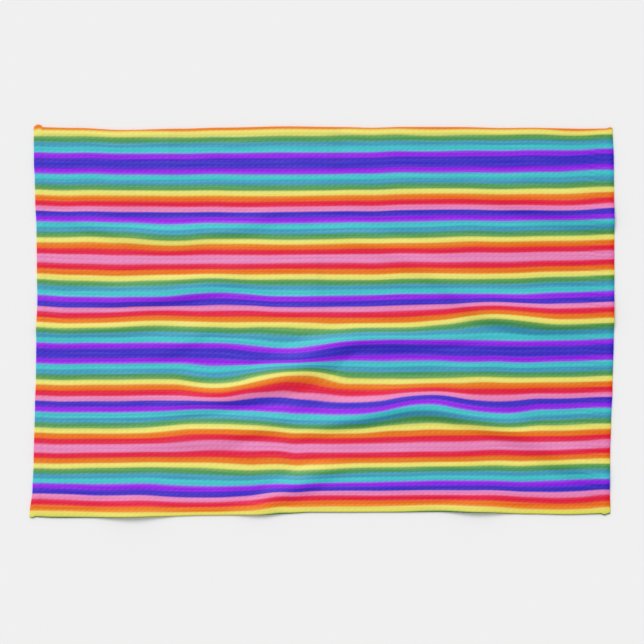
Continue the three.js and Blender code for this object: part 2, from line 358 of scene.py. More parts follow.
# The single threads between the waffle's ridges
THREAD_PITCH = 0.8
THREAD_RELIEF = 0.12
THREAD_BUMP = 0.35

# How much of the print shows through on the back
SHOW_THROUGH = 0.13

# The camera looks straight down on a place a little to the right of the table's middle and nearer than it,
# and its distance is taken from the height of the cloth's face
CAMERA_RIGHT = 0.11
CAMERA_NEAR = 0.73
FACE_HEIGHT = 1.5
FLOOR_SIZE = 6000


def from_screen(red, green, blue):
    """A colour given as it shows on a screen, 0 to 255, as the linear colour that shaders use."""
    shares = (red / 255, green / 255, blue / 255)
    return tuple(c / 12.92 if c <= 0.04045 else ((c + 0.055) / 1.055) ** 2.4 for c in shares)


def length_setting(name, description, default, least, most):
    """A length as a setting, all in metres."""
    return bpy.props.FloatProperty(
        name=name, description=description, default=default, min=least, max=most, precision=5, unit="LENGTH",
    )


def share_setting(name, description, default, most):
    """A share as a setting, from 0 up."""
    return bpy.props.FloatProperty(
        name=name, description=description, default=default, min=0, max=most, subtype="FACTOR",
    )


def angle_setting(name, description, degrees, least, most):
    """An angle as a setting, given in degrees."""
    return bpy.props.FloatProperty(
        name=name, description=description, default=math.radians(degrees),
        min=math.radians(least), max=math.radians(most), subtype="ANGLE",
    )


def colour_setting(name, description, red, green, blue):
    """A colour as a setting, given as it shows on a screen."""
    return bpy.props.FloatVectorProperty(
        name=name, description=description, default=from_screen(red, green, blue),
        min=0, max=1, size=3, subtype="COLOR",
    )


class TowelClothSettings(bpy.types.PropertyGroup):
    """Sizes of the cloth."""

    length: length_setting("Length", "Cut length of the towel, hems turned", CUT_LENGTH * MM, 0.3, 1.2)
    width: length_setting("Width", "Cut width of the towel, hems turned", CUT_WIDTH * MM, 0.2, 0.8)
    thickness: length_setting("Thickness", "Thickness of one layer of the cloth", 0.0018, 0.0008, 0.003)
    hem_width: length_setting(
        "Hem width", "Width of the turned hem, from the edge to its step", 0.0055, 0.004, 0.02,
    )
    hem_rise: length_setting("Hem rise", "How much thicker the hem is than the cloth", 0.0009, 0.0, 0.002)
    waffle_length: length_setting(
        "Waffle cell length", "Size of a waffle cell along the towel", 0.0064, 0.003, 0.02,
    )
    waffle_width: length_setting(
        "Waffle cell width", "Size of a waffle cell across the towel", 0.0051, 0.003, 0.02,
    )
    waffle_depth: length_setting(
        "Waffle depth", "How far a cell's floor lies below its ridges", 0.0003, 0.0, 0.001,
    )
    fold_rise: share_setting("Fold rise", "How high the folds stand, 1 as laid on the table", 1.0, 1.5)


class TowelPrintSettings(bpy.types.PropertyGroup):
    """Stripes and colours of the print."""

    scale: bpy.props.FloatProperty(
        name="Print scale", description="Size of the printed stripes, 1 as drawn", default=1.0,
        min=0.5, max=3.0,
    )
    softness: length_setting(
        "Edge softness", "Width over which one stripe runs into the next", 0.0014, 0.0, 0.002,
    )
    bleed: share_setting("Bleed", "How much a stripe takes on of its neighbour's colour", 0.12, 0.4)
    indigo: colour_setting("Indigo", "Colour of the indigo stripe", 73, 60, 201)
    purple: colour_setting("Purple", "Colour of the purple stripe", 158, 45, 237)
    turquoise: colour_setting("Turquoise", "Colour of the turquoise stripe", 75, 201, 205)
    blue: colour_setting("Steel blue", "Colour of the steel blue stripe", 78, 161, 194)
    green: colour_setting("Green", "Colour of the green stripe", 89, 159, 94)
    yellow: colour_setting("Yellow", "Colour of the yellow stripe", 239, 232, 123)
    orange: colour_setting("Orange", "Colour of the orange stripe", 235, 122, 41)
    red: colour_setting("Red", "Colour of the red stripe", 230, 39, 72)
    pink: colour_setting("Pink", "Colour of the pink stripe", 235, 141, 191)
    plain_back: colour_setting("Plain back", "Colour of the unprinted back", 236, 233, 226)


class TowelStageSettings(bpy.types.PropertyGroup):
    """Camera, floor and light."""

    lens: bpy.props.FloatProperty(
        name="Lens", description="Focal length of the camera", default=100, min=35, max=200, unit="CAMERA",
    )
    frame_width: length_setting(
        "Frame width", "Width of the table that the camera takes in", 0.6766, 0.3, 3,
    )
    floor_colour: colour_setting("Floor", "Colour of the plain floor", 240, 240, 240)
    key_share: share_setting("Key share", "Share of the light that comes from the key light", 0.39, 1)
    key_elevation: angle_setting("Key elevation", "Height of the key light over the table", 52, 6, 90)
    key_turn: angle_setting("Key turn", "How far the key light stands left of the far side", 30, -180, 180)
    key_softness: angle_setting("Key softness", "Apparent width of the key light", 30, 0, 86)


def ease(share):
    """Eases from 0 to 1 with level ends."""
    t = np.clip(share, 0, 1)
    return t * t * (3 - 2 * t)


def edge_out(knots, at):
    """How far an edge lies outside the cut line at a place along it."""
    places = np.array([knot.at for knot in knots], float)
    outs = np.array([knot.out for knot in knots], float)
    span = np.clip(np.searchsorted(places, at, side="right") - 1, 0, len(knots) - 2)
    share = ease((at - places[span]) / (places[span + 1] - places[span]))
    return outs[span] + (outs[span + 1] - outs[span]) * share


def nub_out(cut_x, cut_y):
    """How far the ends of the side hems push the far and near edges out."""
    out = np.zeros_like(cut_x)
    for nub in NUBS:
        across = np.clip(1 - ((cut_x - nub.x) / nub.reach) ** NUB_BLUNTNESS, 0, 1)
        inwards = ease(1 - (HALF_WIDTH - nub.side * cut_y) / NUB_DEPTH)
        out += nub.side * nub.out * across * inwards
    return out


def outline_place(cut_x, cut_y):
    """Where a point of the cut rectangle would lie if only the edges wandered."""
    along = cut_x / CUT_LENGTH + 0.5
    across = cut_y / CUT_WIDTH + 0.5
    x = cut_x + edge_out(RIGHT_EDGE, cut_y) * along - edge_out(LEFT_EDGE, cut_y) * (1 - along)
    y = cut_y + edge_out(FAR_EDGE, cut_x) * across - edge_out(NEAR_EDGE, cut_x) * (1 - across)
    return x, y


def pull_up(x, y):
    """How far the cloth that lies at a place was drawn towards the far edge."""
    up = np.zeros_like(x)
    for pull in PULLS:
        reach = np.minimum(np.hypot((x - pull.x) / pull.along, (y - pull.y) / pull.across), 1)
        up += pull.up * (1 - reach**2) ** 2
    return up


def in_from_edge(cut_x, cut_y):
    """Distance in from the nearest edge of the cut cloth."""
    return np.minimum(HALF_LENGTH - np.abs(cut_x), HALF_WIDTH - np.abs(cut_y))


def lay_out(cut_x, cut_y):
    """Where points of the cut cloth lie, and how far the print is drawn over the cloth there."""
    x, rest_y = outline_place(cut_x, cut_y)
    free = ease((in_from_edge(cut_x, cut_y) - HELD_BY_HEM) / (FREE_OF_HEM - HELD_BY_HEM))
    y = rest_y
    for _ in range(LAYING_STEPS):
        y = y + LAYING_SHARE * (rest_y + free * pull_up(x, y) - y)
    print_drawn = (1 - free) * pull_up(x, y)
    return x, y + nub_out(cut_x, cut_y), print_drawn


def crest_line(fold):
    """A fold's crest as even straight steps: the places, heights and flank widths along it."""
    rows = np.array(fold.crest, float)
    marks = np.vstack([rows[:1], rows, rows[-1:]])
    share = np.linspace(0, 1, CURVE_SAMPLES, endpoint=False)[:, None]
    spans = []
    for before, start, end, after in zip(marks, marks[1:], marks[2:], marks[3:]):
        leaving = (end - before) / 2
        arriving = (after - start) / 2
        cubic = 2 * start - 2 * end + leaving + arriving
        square = 3 * end - 3 * start - 2 * leaving - arriving
        spans.append(((cubic * share + square) * share + leaving) * share + start)
    curve = np.vstack([*spans, marks[-1:]])
    run = np.concatenate([[0], np.cumsum(np.hypot(*np.diff(curve[:, :2], axis=0).T))])
    even = np.linspace(0, run[-1], CREST_STEPS + 1)
    return np.column_stack([np.interp(even, run, column) for column in curve.T])


def fold_section(share, form):
    """The section of a fold: share is 0 at the crest and 1 at the foot of the flank."""
    swell = 0.5 * (1 + np.cos(np.pi * share))
    pinched = (1 - share) ** 2
    rolled = 1 - share**2
    formed = np.where(form > 0, pinched, rolled)
    return swell + (formed - swell) * np.abs(form)


def fold_height(fold, x, y):
    """How far one fold lifts the cloth at each point."""
    height = np.zeros_like(x)
    crest = crest_line(fold)
    widest = crest[:, 3:].max()
    low = crest[:, :2].min(axis=0) - widest
    high = crest[:, :2].max(axis=0) + widest
    near_by = (x > low[0]) & (x < high[0]) & (y > low[1]) & (y < high[1])
    px = x[near_by]
    py = y[near_by]
    distance = np.full_like(px, np.inf)
    side = np.zeros_like(px)
    rise, far, near = np.zeros((3, len(px)))
    for start, end in zip(crest, crest[1:]):
        step = end - start
        stride = math.hypot(step[0], step[1])
        share = np.clip(((px - start[0]) * step[0] + (py - start[1]) * step[1]) / stride**2, 0, 1)
        away_x = px - start[0] - share * step[0]
        away_y = py - start[1] - share * step[1]
        gap = np.hypot(away_x, away_y)
        closer = gap < distance
        distance[closer] = gap[closer]
        turn = (step[0] * away_y - step[1] * away_x) / (stride * np.maximum(gap, TINY))
        side[closer] = turn[closer]
        for values, column in ((rise, 2), (far, 3), (near, 4)):
            values[closer] = start[column] + step[column] * share[closer]
    on_far = (side + 1) / 2
    flank = near + (far - near) * on_far
    form = fold.near_form + (fold.far_form - fold.near_form) * on_far
    height[near_by] = rise * fold_section(np.minimum(distance / flank, 1), form)
    return height


def rolling_waves(x, y):
    """The low waves of cloth that doesn't lie quite flat, never below 0."""
    draw = np.random.default_rng(WAVE_SEED)
    total = np.zeros_like(x)
    for _ in range(WAVE_COUNT):
        heading = draw.uniform(0, 2 * np.pi)
        wave = draw.uniform(SHORTEST_WAVE, LONGEST_WAVE)
        start = draw.uniform(0, 2 * np.pi)
        total += np.cos(2 * np.pi * (x * np.cos(heading) + y * np.sin(heading)) / wave + start)
    return WAVE_HEIGHT * np.maximum(0, 1 + total / math.sqrt(WAVE_COUNT))


def underside(x, y, fold_rise):
    """Height of the cloth's underside over the table."""
    height = rolling_waves(x, y) + fold_rise * total_height(FOLDS, x, y)
    for lift in EDGE_LIFTS:
        reach = np.hypot((x - lift.x) / lift.along, (y - lift.y) / lift.across)
        height += fold_rise * lift.height * ease(1 - reach)
    return height


def total_height(folds, x, y):
    """The heights of several folds, added up."""
    return sum(fold_height(fold, x, y) for fold in folds)


def shade_leaning(x, y, fold_rise):
    """How steeply the cloth falls to the near right, away from the key light: painted shade where it falls,
    painted light where it rises.
    """
    step_x, step_y = LEAN_STEP * math.cos(PAINTED_LIGHT_FROM), LEAN_STEP * math.sin(PAINTED_LIGHT_FROM)
    fall = underside(x + step_x, y + step_y, fold_rise) - underside(x - step_x, y - step_y, fold_rise)
    return np.clip(fall / (2 * LEAN_STEP), MOST_RISE, MOST_FALL)


def rolled_edge_shade(cuts):
    """The painted shade that the near and the right hem add as they roll under."""
    lean = np.zeros(len(cuts))
    for inwards, roll in ((HALF_WIDTH + cuts[:, 1], NEAR_ROLL_SHADE), (HALF_LENGTH - cuts[:, 0], RIGHT_ROLL_SHADE)):
        for deeper, width in roll:
            lean += deeper * (1 - ease(inwards / width))
    return lean


def hem_profile(inwards, cloth):
    """Thickness of the cloth and its turned hem, at a distance in from the edge."""
    hem = cloth.hem_rise / MM * (1 - ease((inwards - cloth.hem_width / MM) / HEM_STEP))
    roll = EDGE_ROLL * (1 - ease(inwards / EDGE_ROLL_WIDTH))
    return cloth.thickness / MM + hem - roll


def ridges(cells):
    """Height of a row of ridges, 1 at each whole cell and 0 one sample away from it."""
    nearness = np.abs(cells % 1 - 0.5) * 2
    return np.clip(1 - (1 - nearness) * SAMPLES_PER_CELL / 2, 0, 1)


def waffle(cut_x, cut_y, cloth, rim):
    """Height of the waffle's ridges over its cell floors."""
    cell_x, cell_y = cell_sizes(cloth, rim)
    along = ridges((cut_x + HALF_LENGTH - rim) / cell_x)
    across = ridges((cut_y + HALF_WIDTH - rim) / cell_y)
    inwards = in_from_edge(cut_x, cut_y)
    open_cloth = ease((inwards - cloth.hem_width / MM) / WAFFLE_FADE)
    strength = (HEM_WAFFLE + (1 - HEM_WAFFLE) * open_cloth) * ease((inwards - rim) / WAFFLE_FADE)
    return cloth.waffle_depth / MM * np.maximum(along, LOW_RIDGE * across) * strength


def cell_counts(cloth, rim):
    """Whole waffle cells along and across the cloth, between its rounded edges."""
    along = round((CUT_LENGTH - 2 * rim) / (cloth.waffle_length / MM))
    across = round((CUT_WIDTH - 2 * rim) / (cloth.waffle_width / MM))
    return along, across


def cell_sizes(cloth, rim):
    """Real size of a waffle cell, in millimetres."""
    along, across = cell_counts(cloth, rim)
    return (CUT_LENGTH - 2 * rim) / along, (CUT_WIDTH - 2 * rim) / across


def cell_place(cuts, cloth):
    """Places on the cut cloth, counted in waffle cells from the first ridges."""
    rim = rim_radius(cloth)
    return (cuts + (HALF_LENGTH - rim, HALF_WIDTH - rim)) / cell_sizes(cloth, rim)


def rim_radius(cloth):
    """Radius of the cloth's rounded edge, in millimetres."""
    return float(hem_profile(0.0, cloth)) / 2


def loop_round(grid):
    """The outermost entries of a grid, once round, anticlockwise from above."""
    return np.concatenate([grid[0, :-1], grid[:-1, -1], grid[-1, :0:-1], grid[:0:-1, 0]])


def back_lines(count, hem_lines):
    """Grid lines kept on the back: both sides of each hem, and one line to a waffle cell between them."""
    inner = list(range(hem_lines + 1, count - hem_lines, SAMPLES_PER_CELL))
    if inner[-1] != count - hem_lines - 1:
        inner.append(count - hem_lines - 1)
    return [0, hem_lines, *inner, count - hem_lines, count]


class ClothBuilder:
    """Collects the points and faces of the towel's closed sheet."""

    def __init__(self):
        self.points = []
        self.cuts = []
        self.prints = []
        self.faces = []
        self.backs = []
        self.mirrored = []
        self.count = 0

    def add_points(self, cut_x, cut_y, x, y, z, print_at):
        """Adds points and returns their numbers."""
        shape = np.shape(x)
        self.points.append(np.column_stack([np.ravel(x), np.ravel(y), np.ravel(z)]))
        self.cuts.append(np.column_stack([np.ravel(cut_x), np.ravel(cut_y)]))
        self.prints.append(np.ravel(print_at))
        first = self.count
        self.count += int(np.prod(shape))
        return np.arange(first, self.count).reshape(shape)

    def add_faces(self, *corners, back=False, mirrored=False):
        """Adds faces from arrays of their corners, in order round each face."""
        rows = np.column_stack([np.ravel(corner) for corner in corners]).tolist()
        self.faces.extend(rows)
        self.backs.extend([back] * len(rows))
        self.mirrored.extend([mirrored] * len(rows))


def build_cloth(cloth):
    """The towel's sheet: a waffle face, a rounded edge, and a back with the turned hem and its step."""
    rim = rim_radius(cloth)
    cells_along, cells_across = cell_counts(cloth, rim)
    xs = np.linspace(rim - HALF_LENGTH, HALF_LENGTH - rim, cells_along * SAMPLES_PER_CELL + 1)
    ys = np.linspace(rim - HALF_WIDTH, HALF_WIDTH - rim, cells_across * SAMPLES_PER_CELL + 1)
    cut_x, cut_y = np.meshgrid(xs, ys)
    x, y, drawn = lay_out(cut_x, cut_y)
    under = underside(x, y, cloth.fold_rise)
    builder = ClothBuilder()

    inwards = in_from_edge(cut_x, cut_y)
    face_z = under + hem_profile(inwards - rim, cloth) + total_height(CREASES, x, y)
    face_z += waffle(cut_x, cut_y, cloth, rim)
    face = builder.add_points(cut_x, cut_y, x, y, face_z, cut_y - drawn)
    builder.add_faces(face[:-1, :-1], face[:-1, 1:], face[1:, 1:], face[1:, :-1])

    ring = add_rim(builder, cloth, cut_x, cut_y, face)
    add_back(builder, cloth, cut_x, cut_y, x, y, under, drawn, ring)
    return builder


def add_rim(builder, cloth, cut_x, cut_y, face):
    """The rounded edge, ring by ring from the face downwards; returns the lowest ring."""
    rim = rim_radius(cloth)
    start_x = loop_round(cut_x)
    start_y = loop_round(cut_y)
    out_x = np.where(np.isclose(np.abs(start_x), HALF_LENGTH - rim), np.sign(start_x), 0)
    out_y = np.where(np.isclose(np.abs(start_y), HALF_WIDTH - rim), np.sign(start_y), 0)
    stretch = np.hypot(out_x, out_y)
    upper = loop_round(face)
    for degrees in RIM_ANGLES:
        angle = math.radians(degrees)
        ring_x = start_x + rim * math.cos(angle) * out_x / stretch
        ring_y = start_y + rim * math.cos(angle) * out_y / stretch
        x, y, drawn = lay_out(ring_x, ring_y)
        z = underside(x, y, cloth.fold_rise) + rim * (1 + math.sin(angle))
        print_at = start_y + out_y * rim * (math.pi / 2 - angle) - drawn
        lower = builder.add_points(ring_x, ring_y, x, y, z, print_at)
        builder.add_faces(upper, lower, np.roll(lower, -1), np.roll(upper, -1))
        upper = lower
    return upper


def add_back(builder, cloth, cut_x, cut_y, x, y, under, drawn, ring):
    """The back: the printed band of the turned hem, the step at its inner side, and the plain cloth."""
    rows, columns = cut_x.shape
    rim = rim_radius(cloth)
    hem_reach = cloth.hem_width / MM + HEM_STEP - rim
    hem_columns = round(hem_reach / (cut_x[0, 1] - cut_x[0, 0]))
    hem_rows = round(hem_reach / (cut_y[1, 0] - cut_y[0, 0]))
    row_lines = back_lines(rows - 1, hem_rows)
    column_lines = back_lines(columns - 1, hem_columns)
    pick = np.ix_(row_lines, column_lines)
    places = (cut_x[pick], cut_y[pick], x[pick], y[pick])
    height = under[pick]
    print_at = (cut_y - drawn)[pick]

    band = builder.add_points(*places, height, print_at)
    raised = np.zeros_like(height)
    raised[1:-1, 1:-1] = cloth.hem_rise / MM
    raised[2:-2, 2:-2] = 0
    plain = builder.add_points(*places, height + raised, print_at)

    def cells(grid, row_part, column_part):
        """The corners of the faces in a part of the grid, in order as seen from below."""
        block = grid[row_part, column_part]
        return block[:-1, :-1], block[1:, :-1], block[1:, 1:], block[:-1, 1:]

    whole = slice(None)
    for row_part in (slice(0, 2), slice(-2, None)):
        builder.add_faces(*cells(band, row_part, whole), mirrored=True)
    for column_part in (slice(0, 2), slice(-2, None)):
        builder.add_faces(*cells(band, slice(1, -1), column_part))
    builder.add_faces(*cells(plain, slice(1, -1), slice(1, -1)), back=True)

    step_low = loop_round(band[1:-1, 1:-1])
    step_high = loop_round(plain[1:-1, 1:-1])
    builder.add_faces(step_low, step_high, np.roll(step_high, -1), np.roll(step_low, -1))
    join_ring(builder, ring, band, row_lines, column_lines)


def join_ring(builder, ring, band, row_lines, column_lines):
    """Joins the fine lowest ring of the edge to the coarser border of the back with fans of triangles."""
    last_row = row_lines[-1]
    last_column = column_lines[-1]
    turns = [
        *column_lines[:-1],
        *(last_column + line for line in row_lines[:-1]),
        *(last_column + last_row + last_column - line for line in column_lines[:0:-1]),
        *(2 * last_column + last_row + last_row - line for line in row_lines[:0:-1]),
    ]
    border = loop_round(band)
    total = len(ring)
    for i, start in enumerate(turns):
        end = turns[(i + 1) % len(turns)] or total
        middle = (start + end) // 2
        near_corner = border[i]
        far_corner = border[(i + 1) % len(border)]
        for j in range(start, end):
            corner = near_corner if j < middle else far_corner
            builder.add_faces(ring[j], corner, ring[(j + 1) % total])
        builder.add_faces(ring[middle % total], near_corner, far_corner)


def make_mesh(builder, cloth, pattern):
    """The builder's points and faces as a mesh, with its maps, its attributes, and each face set to the
    first or the second material slot.
    """
    mesh = bpy.data.meshes.new("towel_cloth")
    points = np.vstack(builder.points)
    cuts = np.vstack(builder.cuts)
    pack_shade = np.clip(total_height(PACK_LINES, points[:, 0], points[:, 1]), 0, 1)
    lean = shade_leaning(points[:, 0], points[:, 1], cloth.fold_rise) + rolled_edge_shade(cuts)
    points[:, :2] += table_shift(points)
    mesh.from_pydata((points * MM).tolist(), [], builder.faces)
    mesh.update()
    add_maps(mesh, builder, cuts, cloth, pattern)
    for name, values in ((PACK_SHADE_ATTRIBUTE, pack_shade), (SHADE_LEAN_ATTRIBUTE, lean)):
        attribute = mesh.attributes.new(name=name, type="FLOAT", domain="POINT")
        attribute.data.foreach_set("value", values.astype(np.float32))
    mesh.polygons.foreach_set("material_index", np.array(builder.backs, int))
    mesh.polygons.foreach_set("use_smooth", np.ones(len(mesh.polygons), bool))
    mesh.set_sharp_from_angle(angle=SHARPEST_SMOOTH)
    return mesh


def add_maps(mesh, builder, cuts, cloth, pattern):
    """Maps of each face corner's place on the cut cloth, in the print and in the weave."""
    corner_points = np.empty(len(mesh.loops), int)
    mesh.loops.foreach_get("vertex_index", corner_points)
    corner_counts = np.empty(len(mesh.polygons), int)
    mesh.polygons.foreach_get("loop_total", corner_counts)
    mirrored = np.repeat(np.array(builder.mirrored), corner_counts)

    places = cuts[corner_points]
    turned_over = np.sign(places[:, 1]) * 2 * HALF_WIDTH - places[:, 1]
    prints = np.where(mirrored, turned_over, np.concatenate(builder.prints)[corner_points])
    from_indigo = (prints - WIDE_INDIGO_AT) / pattern.scale
    shares = places / (CUT_LENGTH, CUT_WIDTH) + 0.5
    for name, values in (
        ("Cut", shares),
        ("Print", np.column_stack([shares[:, 0], from_indigo])),
        ("Weave", cell_place(places, cloth)),
    ):
        mesh.uv_layers.new(name=name).uv.foreach_set("vector", values.astype(np.float32).ravel())


def table_shift(points):
    """The step that puts the middle of the laid outline where the frame's cloth has it, in millimetres."""
    low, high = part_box(TOWEL_NODE)
    middle = (points.min(axis=0) + points.max(axis=0)) / 2
    return [(low[axis] + high[axis]) / 2 / MM - middle[axis] for axis in (0, 1)]


def add_node(tree, kind, **settings):
    """Adds a shader node with the given settings."""
    node = tree.nodes.new(kind)
    for name, value in settings.items():
        setattr(node, name, value)
    return node


def set_inputs(node, values):
    """Sets a node's inputs, given by name."""
    for name, value in values.items():
        node.inputs[name].default_value = value


def math_node(tree, operation, *values, clamp=False):
    """Adds a Math node on sockets or numbers, and returns its result."""
    node = add_node(tree, "ShaderNodeMath", operation=operation, use_clamp=clamp)
    join_values(tree, node.inputs, values)
    return node.outputs[0]


def join_values(tree, sockets, values):
    """Gives each socket its value, which is a number, a colour or another node's output."""
    for socket, value in zip(sockets, values):
        if isinstance(value, bpy.types.NodeSocket):
            tree.links.new(value, socket)
        else:
            socket.default_value = value


def mix_colours(tree, blend, factor, first, second):
    """Adds a colour Mix node on sockets or values, and returns its result."""
    node = add_node(tree, "ShaderNodeMix", data_type="RGBA", blend_type=blend)
    # A Mix node's factor is its input 0, and its two colours are inputs 6 and 7
    join_values(tree, (node.inputs[0], node.inputs[6], node.inputs[7]), (factor, first, second))
    return node.outputs[2]


def split_map(tree, name):
    """The two parts of one of the mesh's maps, along and across."""
    uv_map = add_node(tree, "ShaderNodeUVMap", uv_map=name)
    split = add_node(tree, "ShaderNodeSeparateXYZ")
    tree.links.new(uv_map.outputs[0], split.inputs[0])
    return split.outputs[0], split.outputs[1]


def attribute_value(tree, name):
    """The value of one of the mesh's attributes."""
    return add_node(tree, "ShaderNodeAttribute", attribute_name=name).outputs["Fac"]


def map_range(tree, value, lowest, highest, low=0, high=1):
    """Turns a value between lowest and highest into one between low and high."""
    level = add_node(tree, "ShaderNodeMapRange", clamp=True)
    set_inputs(level, {"From Min": lowest, "From Max": highest, "To Min": low, "To Max": high})
    tree.links.new(value, level.inputs["Value"])
    return level.outputs[0]


def blend_colour(first, second, share):
    """A share of the second colour in the first."""
    return tuple(a * (1 - share) + b * share for a, b in zip(first, second))


def stripe_ramp(tree, stripes, from_start, pattern):
    """A run of nine stripes, each soft at its edges, as a colour ramp over the distance from its start."""
    ramp_node = add_node(tree, "ShaderNodeValToRGB")
    ramp = ramp_node.color_ramp
    soft = pattern.softness / MM / 2
    colours = [tuple(getattr(pattern, stripe.colour)) for stripe in stripes]
    run = sum(stripe.width for stripe in stripes)
    stops = []
    start = 0
    for i, (stripe, colour) in enumerate(zip(stripes, colours)):
        end = start + stripe.width
        before = colours[max(i - 1, 0)]
        after = colours[min(i + 1, len(colours) - 1)]
        stops.append((start + (soft if start else 0), blend_colour(colour, before, pattern.bleed)))
        stops.append(((start + end) / 2, colour))
        stops.append((end - (soft if end < run else 0), blend_colour(colour, after, pattern.bleed)))
        start = end
    ramp.elements[0].color = (*stops[0][1], 1)
    ramp.elements[1].color = (*stops[-1][1], 1)
    for place, colour in stops[1:-1]:
        stop = ramp.elements.new(place / run)
        stop.color = (*colour, 1)
    share = math_node(tree, "DIVIDE", from_start, run, clamp=True)
    tree.links.new(share, ramp_node.inputs[0])
    return ramp_node.outputs[0]


def print_colour(tree, pattern):
    """Colour of the striped print: through the nine colours twice, and back again."""
    _, across = split_map(tree, "Print")
    from_indigo = math_node(tree, "PINGPONG", across, FIRST_RUN + SECOND_RUN)
    from_second = math_node(tree, "SUBTRACT", from_indigo, FIRST_RUN)
    soft = pattern.softness / MM / 2
    change = map_range(tree, from_second, -soft, soft)
    first = stripe_ramp(tree, FIRST_STRIPES, from_indigo, pattern)
    second = stripe_ramp(tree, SECOND_STRIPES, from_second, pattern)
    return mix_colours(tree, "MIX", change, first, second)


def cut_place(tree, along, across):
    """The place on the cut cloth, counted in units of the given sizes in millimetres."""
    cut_map = add_node(tree, "ShaderNodeUVMap", uv_map="Cut")
    scale = add_node(tree, "ShaderNodeVectorMath", operation="MULTIPLY")
    scale.inputs[1].default_value = (CUT_LENGTH / along, CUT_WIDTH / across, 1)
    tree.links.new(cut_map.outputs[0], scale.inputs[0])
    return scale.outputs[0]


def soft_noise(tree, along, across):
    """Noise from 0 to 1 whose lumps have the given size on the cut cloth, in millimetres."""
    noise = add_node(tree, "ShaderNodeTexNoise", noise_dimensions="2D")
    set_inputs(noise, {"Scale": 1})
    tree.links.new(cut_place(tree, along, across), noise.inputs["Vector"])
    return noise.outputs[0]


def thread_height(tree):
    """Height of the plain-woven threads between the waffle's ridges: over, under, over."""
    split = add_node(tree, "ShaderNodeSeparateXYZ")
    tree.links.new(cut_place(tree, THREAD_PITCH, THREAD_PITCH), split.inputs[0])
    warp = math_node(tree, "SINE", math_node(tree, "MULTIPLY", split.outputs[0], math.pi))
    weft = math_node(tree, "SINE", math_node(tree, "MULTIPLY", split.outputs[1], math.pi))
    return math_node(tree, "ABSOLUTE", math_node(tree, "MULTIPLY", warp, weft))


def round_wave(tree, turns, shift):
    """A wave from -1 to 1 that repeats with every whole turn."""
    angle = math_node(tree, "MULTIPLY", turns, 2 * math.pi)
    return math_node(tree, "SINE", math_node(tree, "ADD", angle, shift))


def painted_cell_shade(tree):
    """The waffle's cells, between -3 and 3: painted shade on one side of each ridge and painted light on the
    other.
    """
    along, across = split_map(tree, "Weave")
    slanting = math_node(tree, "SUBTRACT", along, across)
    upright = math_node(tree, "MULTIPLY", round_wave(tree, along, math.pi), UPRIGHT_SHARE)
    straight = math_node(tree, "ADD", upright, round_wave(tree, across, 0))
    return math_node(tree, "ADD", straight, round_wave(tree, slanting, CELL_SLANT))


def grey_range(tree, value, low, high, lowest=0, highest=1):
    """Turns a value between lowest and highest into a grey between two levels."""
    level = map_range(tree, value, lowest, highest, low, high)
    grey = add_node(tree, "ShaderNodeCombineColor")
    for socket in grey.inputs:
        tree.links.new(level, socket)
    return grey.outputs[0]


def worn_tone(tree, unevenness):
    """A grey just round 1 that makes the cloth's tone uneven."""
    noise = soft_noise(tree, unevenness.along, unevenness.across)
    return grey_range(tree, noise, 1 - unevenness.amount, 1 + unevenness.amount)


def shade_and_streak_depth(tree):
    """How deep the print is, 1 as drawn: painted shade and light on flanks and cells, painted shade to the
    right, and streaks.
    """
    along, _ = split_map(tree, "Cut")
    depth = 1.0
    for value, strength in (
        (attribute_value(tree, SHADE_LEAN_ATTRIBUTE), LEAN_SHADE_DEPTH),
        (map_range(tree, along, END_SHADE_FROM, 1), END_SHADE_DEPTH),
        (painted_cell_shade(tree), -CELL_SHADE_DEPTH),
        (math_node(tree, "SUBTRACT", 0.5, soft_noise(tree, STREAK_LENGTH, STREAK_WIDTH)), STREAK_DEPTH),
    ):
        depth = math_node(tree, "ADD", depth, math_node(tree, "MULTIPLY", value, strength))
    return depth


def woven_cotton(name, colour_of):
    """Matt woven cotton: thread relief, faint streaks, worn tones and painted shade and light over the
    colour of colour_of.
    """
    material = bpy.data.materials.new(name)
    material.use_nodes = True
    tree = material.node_tree
    surface = tree.nodes["Principled BSDF"]
    set_inputs(surface, MATT_COTTON)

    threads = thread_height(tree)
    along, _ = split_map(tree, "Cut")
    # Painted shade and light: this gamma deepens the colour where the cloth and its cells turn from the key
    # light and towards the right end, pales it where they turn to the light, and also carries the random
    # streaks
    deeper = add_node(tree, "ShaderNodeGamma")
    tree.links.new(colour_of(tree), deeper.inputs["Color"])
    tree.links.new(shade_and_streak_depth(tree), deeper.inputs["Gamma"])
    colour = deeper.outputs[0]
    # Multiplied over the colour: painted shade towards the right end and along the pack lines, painted shade
    # and light on the cells and the threads, and the cloth's own worn tones
    for tone in (
        grey_range(tree, along, 1.0, RIGHT_END_SHADE, END_SHADE_FROM, 1),
        grey_range(tree, attribute_value(tree, PACK_SHADE_ATTRIBUTE), 1.0, PACK_LINE_SHADE),
        grey_range(tree, painted_cell_shade(tree), 1 - CELL_SHADE_TONE, 1 + CELL_SHADE_TONE, -MOST_CELL_SHADE, MOST_CELL_SHADE),
        *(worn_tone(tree, unevenness) for unevenness in WORN_TONES),
        grey_range(tree, threads, *THREAD_SHADES),
    ):
        colour = mix_colours(tree, "MULTIPLY", 1.0, colour, tone)
    tree.links.new(colour, surface.inputs["Base Color"])

    relief = add_node(tree, "ShaderNodeBump")
    set_inputs(relief, {"Strength": THREAD_BUMP, "Distance": THREAD_RELIEF * MM})
    tree.links.new(threads, relief.inputs["Height"])
    tree.links.new(relief.outputs[0], surface.inputs["Normal"])
    return material


def printed_cotton(pattern):
    """The printed face and hem band."""
    return woven_cotton("Printed waffle cotton", lambda tree: print_colour(tree, pattern))


def plain_cotton(pattern):
    """The unprinted back, with the stripes showing faintly through."""
    return woven_cotton(
        "Unprinted cotton back",
        lambda tree: mix_colours(
            tree, "MIX", SHOW_THROUGH, (*pattern.plain_back, 1), print_colour(tree, pattern)
        ),
    )


